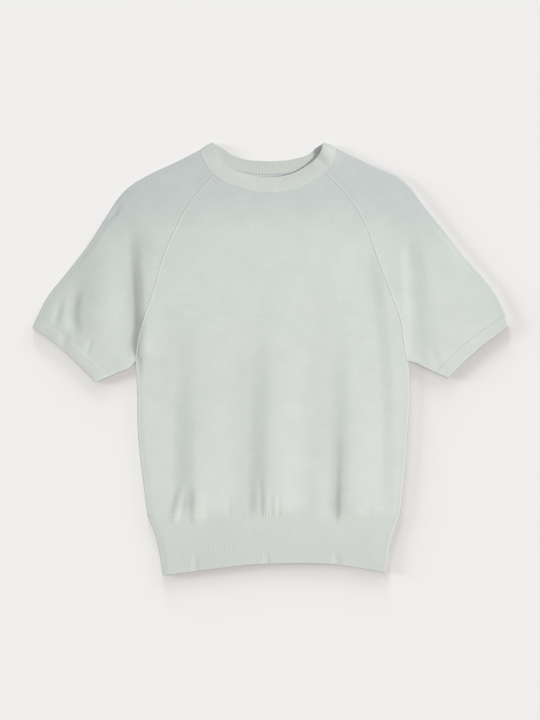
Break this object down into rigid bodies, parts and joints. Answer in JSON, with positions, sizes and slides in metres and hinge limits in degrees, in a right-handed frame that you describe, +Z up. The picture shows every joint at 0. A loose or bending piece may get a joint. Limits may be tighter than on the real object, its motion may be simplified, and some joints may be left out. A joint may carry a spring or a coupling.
{
  "type": "jumper",
  "caption": "Short-sleeved crew-neck raglan jumper in fine pale mint knit with ribbed neckband, cuffs and hem band, laid flat on its back.",
  "frame": {"origin": "on the surface that the jumper lies on, below the middle of its bounding box", "axes": "+X across the jumper to the viewer's right, +Y from hem to neck, +Z up out of the front"},
  "size_m": [0.7143, 0.6488, 0.0109],
  "materials": {
    "plain_knit": "fine matt plain knit, pale mint",
    "rib_knit": "fine matt ribbed knit, pale mint"
  },
  "bodies": {
    "root": {"front": "plain_knit", "back": "plain_knit", "sleeve_left": "plain_knit", "sleeve_right": "plain_knit", "cuff_left": "rib_knit", "cuff_right": "rib_knit", "hem_front": "rib_knit", "hem_back": "rib_knit", "neckband": "rib_knit"}
  },
  "joints": []
}
